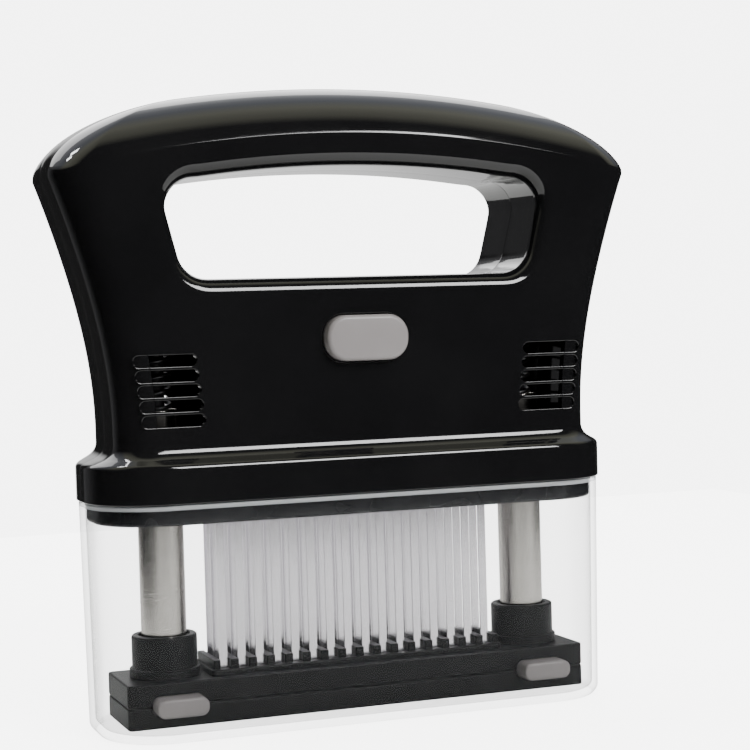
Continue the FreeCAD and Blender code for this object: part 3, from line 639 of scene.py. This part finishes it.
    def opening(cx, cz, hw, hh, lip, sq=1.0, n=10):
        rr = []
        for k in range(5):
            a = math.radians(22.5 * k)
            o = lip * (1 - math.sin(a))
            rr.append([(x, -20.5 + lip * (1 - math.cos(a)), z) for x, z in stad(cx, cz, hw + o, hh + o, n, sq)])
        rr.append([(x, -20.5 + T, z) for x, z in stad(cx, cz, hw, hh, n, sq)])
        s.grid(rr, G_VENT, close=True)
        holes_o.append([(p[0], p[2]) for p in rr[0]])
        holes_i.append([(p[0], p[2]) for p in rr[-1]])
    for cx, cz in VENTS:
        opening(cx, cz, 8.9, 1.6, 0.22)
    if side < 0:
        opening(BTN[0], BTN[1], 12.45, 6.75, 0.35, 0.93, 14)
    else:
        for cx, cz in SCREWS:
            c0 = [(cx + 3.45 * math.cos(a), cz + 3.45 * math.sin(a)) for a in np.linspace(0, 2 * math.pi, 49)[:-1]]
            rr = []
            for k in range(5):
                a = math.radians(22.5 * k); o = 0.3 * (1 - math.sin(a))
                rr.append([(cx + (x - cx) * (3.15 + o) / 3.45, -20.5 + 0.3 * (1 - math.cos(a)), cz + (z - cz) * (3.15 + o) / 3.45) for x, z in c0])
            rr.append([(p[0], -10.0, p[2]) for p in rr[-1]])
            s.grid(rr, G_VENT, close=True)
            s.fan(rr[-1], 7)
            holes_o.append([(p[0], p[2]) for p in rr[0]])
            b0 = [(cx + (x - cx) * 4.3 / 3.45, -20.5 + T, cz + (z - cz) * 4.3 / 3.45) for x, z in c0]
            b1 = [(p[0], -9.0, p[2]) for p in b0]
            s.grid([b0, b1], 8, close=True); s.fan(b1, 9)
            holes_i.append([(p[0], p[2]) for p in b0])
    s.poly(outline(bo, to, 20.5, 10.0, 0.0), holes_o, lambda x, z: (x, -20.5, z), G_OUT)
    s.poly(outline(bi, ti, 20.5 - T, 10.0 - T, T), holes_i, lambda x, z: (x, -20.5 + T, z), G_IN)
    if side > 0:
        q = Shape(); q.add(s, mirror=1); s = q
    return s


shell(-1).build("housing_front", M["housing"], "handle", "housing", ["front_shell"])
shell(1).build("housing_rear", M["housing"], "handle", "housing", ["rear_shell"])

# ------------------------------------------------------------------ skirt and its plate
s = Shape()
pr = rounded([(0.0, 67.6), (0.0, 59.2), (-2.4, 59.2), (-2.4, 64.4)], [0, 0.8, 0.5, 0], 6)
s.grid([ring(75.2 + d, 21.9 + d, 18.0 + d, z, 14) for d, z in pr], 0, close=True)
ceil = [(p[0], p[1]) for p in ring(72.8, 19.5, 15.6, 0, 14)]
top = [(p[0], p[1]) for p in ring(75.2, 21.9, 18.0, 0, 14)]
hs = []
for sx in (-1, 1):
    c = [(p[0], p[1]) for p in circle(sx * 55.5, 0, 0, 8.9, 64)]
    hs.append(c)
for k in (-1, 0, 1):
    hs.append([(-43.5, k * 6.3 - 0.7), (43.5, k * 6.3 - 0.7), (43.5, k * 6.3 + 0.7), (-43.5, k * 6.3 + 0.7)])
for i, h in enumerate(hs):
    s.grid([[(x, y, 64.4) for x, y in h], [(x, y, 67.6) for x, y in h]], 10 + i, close=True)
s.poly(ceil, hs, lambda x, y: (x, y, 64.4), 1)
s.poly(top, hs, lambda x, y: (x, y, 67.6), 2)
s.build("skirt", M["skirt"], "handle", "skirt", ["base_plate"])

# ------------------------------------------------------------------ guide tubes and what holds them
for sx, n in ((-1, "left"), (1, "right")):
    x = sx * 55.5
    s = turn([(5.4, 50.0), (5.4, 10.7), (6.4, 10.7), (6.4, 82.3), (5.95, 82.3), (5.95, 83.6), (6.4, 83.6), (6.4, 90.0), (5.4, 90.0), (5.4, 50.0)],
             [0, 0.1, 0.2, 0.05, 0.05, 0.05, 0.05, 0.25, 0.2, 0], x, 0, 112, 3)
    s.build("tube_" + n, M["tubes"], "foot", "tubes", ["guide_tube_" + n])
    s = turn([(6.45, 74.0), (6.45, 64.4), (8.85, 64.4), (8.85, 67.62), (10.8, 67.62), (10.8, 69.42), (8.85, 69.42), (8.85, 81.9), (6.45, 81.9), (6.45, 74.0)],
             [0, 0.3, 0.2, 0, 0.2, 0.2, 0.2, 0.3, 0.2, 0], x, 0, 96, 3)
    s.build("bushing_" + n, M["bushings"], "handle", "bushings", ["tube_bushing_" + n])

# ------------------------------------------------------------------ clear cover
s = Shape()
pr = rounded([(-24.0, 0.0), (-2.4, 0.0), (-1.0, 1.6), (-0.02, 63.7), (0.0, 64.9), (-1.7, 64.9), (-1.72, 63.7), (-2.7, 2.0), (-24.0, 2.0)], [0, 1.2, 2.4, 0, 0.4, 0.3, 0, 1.6, 0], 7)


def cover_ring(d, z):
    dd = max(d, -20.0)
    return ring(77.3 + dd, 24.1 + dd, max(20.0 + dd, 0.05), z, 18)


body = [p for p in pr if p[0] > -20]
s.grid([cover_ring(d, z) for d, z in body], 0, close=True)
lo_ring, hi_ring = cover_ring(*body[0]), cover_ring(*body[-1])
s.poly([(p[0], p[1]) for p in lo_ring], [], lambda x, y: (x, y, 0.0), 0)
s.poly([(p[0], p[1]) for p in hi_ring], [], lambda x, y: (x, y, 2.0), 0)
cov = s.build("cover", M["cover"], "clear_cover", "cover", ["clear_cover"])
# the faces of the cover's top edge take the pale rim material, a painted highlight
cov.data.materials.append(M["cover_rim"])
for p in cov.data.polygons:
    if p.center.z > 0.0636:
        p.material_index = 1

# ------------------------------------------------------------------ push buttons


def push_button(name, mat, body, node, cx, cz, hw, hh, front, back, fr, crown, sq):
    s = Shape()
    rows = []
    for d, y in ((hh * 0.86, -front - crown), (hh * 0.62, -front - crown * 0.92), (hh * 0.38, -front - crown * 0.55)):
        rows.append([(x, y, z) for x, z in stad(cx, cz, hw - d, hh - d, 18, sq)])
    for k in range(9):
        a = math.radians(90 * k / 8)
        o = -fr * (1 - math.sin(a))
        rows.append([(x, -front + fr * (1 - math.cos(a)), z) for x, z in stad(cx, cz, hw + o, hh + o, 18, sq)])
    rows.append([(x, back, z) for x, z in stad(cx, cz, hw, hh, 18, sq)])
    s.grid(rows, 0, close=True)
    s.fan(rows[0], 0, 0); s.fan(rows[-1], 1)
    return s


s = push_button("b", None, None, None, 0, 108.6, 12.1, 6.4, 24.0, -15.6, 1.3, 0.18, 0.93)
fl = Shape()
fl.grid([[(x, y, z) for x, z in stad(0, 108.6, 13.5, 7.5, 16)] for y in (-17.2, -15.6)], 0, close=True)
fl.fan([(x, -17.2, z) for x, z in stad(0, 108.6, 13.5, 7.5, 16)], 1); fl.fan([(x, -15.6, z) for x, z in stad(0, 108.6, 13.5, 7.5, 16)], 2)
s.add(fl)
st = Shape(); c = [[(3.25 * math.cos(a), y, 108.6 + 3.25 * math.sin(a)) for a in np.linspace(0, 2 * math.pi, 41)[:-1]] for y in (-15.7, 6.0)]
st.grid(c, 0, close=True); st.fan(c[0], 1); st.fan(c[1], 2)
s.add(st)
s.build("centre_button", M["buttons"], "lock_button", "buttons", ["lock_button"])
for sx, n in ((-1, "left"), (1, "right")):
    s = push_button("b", None, None, None, sx * 55.1, 8.8, 7.35, 2.6, 18.75, -10.6, 0.8, 0.12, 0.9)
    fl = Shape()
    o = stad(sx * 55.1, 8.8, 8.15, 3.24, 12)
    fl.grid([[(x, y, z) for x, z in o] for y in (-10.6, -9.6)], 0, close=True)
    fl.fan([(x, -10.6, z) for x, z in o], 1); fl.fan([(x, -9.6, z) for x, z in o], 2)
    s.add(fl)
    s.build("foot_push_" + n, M["buttons"], "foot_button_" + n, "buttons", ["foot_button_" + n])

# ------------------------------------------------------------------ foot plates
slots = Shape()
for i in range(16):
    for k in (-1, 0, 1):
        q = Shape()
        c = [((i - 7.5) * 5.36 + dx, k * 6.3 + dy) for dx, dy in ((-1.45, -0.65), (1.45, -0.65), (1.45, 0.65), (-1.45, 0.65))]
        q.grid([[(x, y, z) for x, y in c] for z in (0.0, 30.0)], 0, close=True)
        q.fan([(x, y, 0.0) for x, y in c], 1); q.fan([(x, y, 30.0) for x, y in c], 2)
        slots.add(q)
pockets = Shape(); screw_holes = Shape()
for sx in (-1, 1):
    pockets.add(stud(sx * 55.1, 8.8, 7.65, 2.9, -20.0, -6.9, sq=0.9))
    for r, z0, z1 in ((3.2, 1.0, 4.5),):
        q = Shape()
        q.grid([circle(sx * 55.5, 0, z, r, 48) for z in (z0, z1)], 0, close=True)
        q.fan(circle(sx * 55.5, 0, z0, r, 48), 1); q.fan(circle(sx * 55.5, 0, z1, r, 48), 2)
        screw_holes.add(q)
carve(slab(69.3, 12.9, 1.4, 2.5, 8.45, 0.45), [slots, pockets, screw_holes], "foot_lower", M["foot"], "foot", ["lower_foot_plate"])
carve(slab(69.3, 12.9, 1.4, 8.6, 15.0, 0.5), [slots, pockets], "foot_upper", M["foot"], "foot", ["upper_foot_plate"])
carve(slab(44.4, 10.2, 1.6, 14.4, 16.7, 0.45), [slots], "foot_island", M["foot"], "foot")
comb = Shape()
for i in range(17):
    x0 = (i - 8.5) * 5.36 + 1.47 if i else -43.6
    x1 = (i - 7.5) * 5.36 - 1.47 if i < 16 else 43.6
    comb.add(slab((x1 - x0) / 2, 9.0, 0.42, 16.3, 19.3, 0.3, cx=(x0 + x1) / 2, nc=4, n=3))
comb.build("foot_comb", M["foot"], "foot", "foot")
for sx, n in ((-1, "left"), (1, "right")):
    s = turn([(6.45, 20.0), (6.45, 14.2), (10.0, 14.2), (10.0, 17.6), (9.25, 17.6), (9.25, 26.8), (7.3, 26.8), (7.3, 25.9), (6.45, 25.9), (6.45, 20.0)],
             [0, 0, 0.1, 0.55, 0.3, 0.7, 0.25, 0.1, 0.1, 0], sx * 55.5, 0, 112, 4)
    s.build("boss_" + n, M["foot"], "foot", "foot")

# ------------------------------------------------------------------ coil springs, copied from the CAD parts; the stroke figures in the table are not applied
for n, body, joint, ax, end, keep in (
        ("return_spring_left", "handle", "foot_slide", (0, 0, 1), (0, 0, 0.1194), 0.688),
        ("return_spring_right", "handle", "foot_slide", (0, 0, 1), (0, 0, 0.1194), 0.688),
        ("lock_spring", "handle", "lock_button_press", (0, 1, 0), (0, 0.0013, 0), 0.82),
        ("foot_button_spring_left", "foot", "foot_button_left_press", (0, 1, 0), (0, -0.0067, 0), 0.53),
        ("foot_button_spring_right", "foot", "foot_button_right_press", (0, 1, 0), (0, -0.0067, 0), 0.53)):
    src = frame["nodes"].get(n)
    coil = bpy.data.objects.new("coil_" + n, src.data.copy())
    coil.matrix_world = src.matrix_world.copy()
    bpy.context.scene.collection.objects.link(coil)
    coil.data.materials.clear(); coil.data.materials.append(M["springs"])
    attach(coil, body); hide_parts(n)
    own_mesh(coil)

SLOT = {r["node"]: r["material_slot"] for r in frame["record"]["subparts"]}
for n, sl in SLOT.items():
    o = frame["nodes"].get(n)
    if o is not None and sl in M:
        o.data.materials.clear(); o.data.materials.append(M[sl])

# ------------------------------------------------------------------ floor, light, camera
me = bpy.data.meshes.new("floor")
me.from_pydata([(-0.26, -0.45, 0), (0.42, -0.45, 0), (0.42, 0.5, 0), (-0.26, 0.5, 0)], [], [(0, 1, 2, 3)])
floor = bpy.data.objects.new("floor", me)
bpy.context.scene.collection.objects.link(floor)
fm, nt, b = new_mat("pale_floor", (0.88, 0.88, 0.88), 0.75)
nt.links.new(ramp(nt, noise(nt, coords(nt), 6.0, 2.0), 0.7, 0.8), b.inputs["Roughness"])
lp = nt.nodes.new("ShaderNodeLightPath")
b.inputs["Emission Color"].default_value = (1, 1, 1, 1)
nt.links.new(ramp(nt, lp.outputs["Is Camera Ray"], 0.0, 5.1), b.inputs["Emission Strength"])
me.materials.append(fm)

w = bpy.data.worlds.new("studio")
bpy.context.scene.world = w
w.use_nodes = True
nt = w.node_tree
bg = nt.nodes.get("Background")
tc = nt.nodes.new("ShaderNodeTexCoord"); sp = nt.nodes.new("ShaderNodeSeparateXYZ")
nt.links.new(tc.outputs["Generated"], sp.inputs[0])
def stops(fac, pts):
    cr = nt.nodes.new("ShaderNodeValToRGB")
    el = cr.color_ramp.elements
    for pos, c in pts:
        e = el.new(pos); e.color = (*c, 1)
    el.remove(el[0]); el.remove(el[-1])
    nt.links.new(fac, cr.inputs["Fac"])
    return cr.outputs["Color"]


def times(a, b):
    m = nt.nodes.new("ShaderNodeMix"); m.data_type = "RGBA"; m.blend_type = "MULTIPLY"; m.inputs[0].default_value = 1.0
    nt.links.new(a, m.inputs[6]); nt.links.new(b, m.inputs[7])
    return m.outputs[2]


def plus(a, b):
    m = nt.nodes.new("ShaderNodeMix"); m.data_type = "RGBA"; m.blend_type = "ADD"; m.inputs[0].default_value = 1.0
    nt.links.new(a, m.inputs[6]); nt.links.new(b, m.inputs[7])
    return m.outputs[2]


half = lambda v: 0.5 + 0.5 * v
yy = ramp(nt, sp.outputs["Y"], 0.0, 1.0, -1.0, 1.0)
xx = ramp(nt, sp.outputs["X"], 0.0, 1.0, -1.0, 1.0)
K0, OL, OM, BL, WH = (0.0, 0.0, 0.0), (0.85, 0.85, 0.66), (1.30, 1.30, 1.05), (0.85, 0.90, 1.0), (1.4, 1.4, 1.45)
sky = stops(yy, ((half(-0.42), K0), (half(-0.24), OL), (half(0.05), OM), (half(0.30), BL), (half(0.80), WH)))
up = stops(sp.outputs["Z"], ((0.28, K0), (0.70, (1, 1, 1))))
gap = stops(xx, ((half(-0.34), (0.16, 0.16, 0.165)), (half(-0.27), (0.03, 0.03, 0.03)), (half(-0.08), (0.03, 0.03, 0.03)), (half(0.04), (1.3, 1.3, 1.3)), (half(0.34), (1.3, 1.3, 1.3)), (half(0.47), (0.05, 0.05, 0.05))))
far = stops(yy, ((half(0.45), K0), (half(0.80), (1, 1, 1))))
room = stops(yy, ((half(-0.95), (0.05, 0.05, 0.05)), (half(-0.50), (0.04, 0.04, 0.04)), (half(0.0), (0.03, 0.03, 0.03)), (half(0.9), K0)))
light = plus(plus(times(sky, up), times(gap, far)), room)
lp = nt.nodes.new("ShaderNodeLightPath")
mx = nt.nodes.new("ShaderNodeMix"); mx.data_type = "RGBA"
nt.links.new(lp.outputs["Is Camera Ray"], mx.inputs[0]); nt.links.new(light, mx.inputs[6]); mx.inputs[7].default_value = (6.0, 6.0, 6.0, 1)
nt.links.new(mx.outputs[2], bg.inputs["Color"])
bg.inputs["Strength"].default_value = 1.0


def area(name, loc, target, size, power, color=(1, 1, 1)):
    d = bpy.data.lights.new(name, "AREA"); d.shape = "RECTANGLE"; d.size, d.size_y = size; d.energy = power; d.color = color
    o = bpy.data.objects.new(name, d); bpy.context.scene.collection.objects.link(o)
    o.location = loc
    o.rotation_euler = (Vector(target) - Vector(loc)).to_track_quat("-Z", "Y").to_euler()
    return o


area("front_box", (0.47, -1.05, 0.86), (0.0, 0, 0.12), (0.48, 0.50), 20)
area("back_box", (0.0, 1.05, 0.95), (0, 0, 0.12), (1.8, 0.7), 12)
area("table_fill", (0.3, -0.5, 1.5), (0, -0.3, 0), (1.6, 0.5), 10).visible_glossy = False
for k, dx in enumerate((-0.075, 0.075)):
    area("pane_%d" % k, (-0.56 + dx, 0.24 + dx * 0.4, 1.05), (-0.07, 0, 0.15), (0.09, 0.13), 1.6)

az, el, ro = math.radians(-20.558), math.radians(1.915), math.radians(1.643)
fwd = Vector((-math.sin(az) * math.cos(el), math.cos(az) * math.cos(el), -math.sin(el)))
right = Vector((math.cos(az), math.sin(az), 0.0)); up = right.cross(fwd)
X = right * math.cos(ro) - up * math.sin(ro); Y = right * math.sin(ro) + up * math.cos(ro); Z = -fwd
cam_d = bpy.data.cameras.new("camera"); cam = bpy.data.objects.new("camera", cam_d)
bpy.context.scene.collection.objects.link(cam)
from mathutils import Matrix
cam.matrix_world = Matrix(((X.x, Y.x, Z.x, -0.18353), (X.y, Y.y, Z.y, -0.51692), (X.z, Y.z, Z.z, 0.11565), (0, 0, 0, 1)))
cam_d.sensor_width = 36.0; cam_d.lens = 1882.57 * 36 / 750
cam_d.clip_start = 0.01; cam_d.clip_end = 20
bpy.context.scene.camera = cam
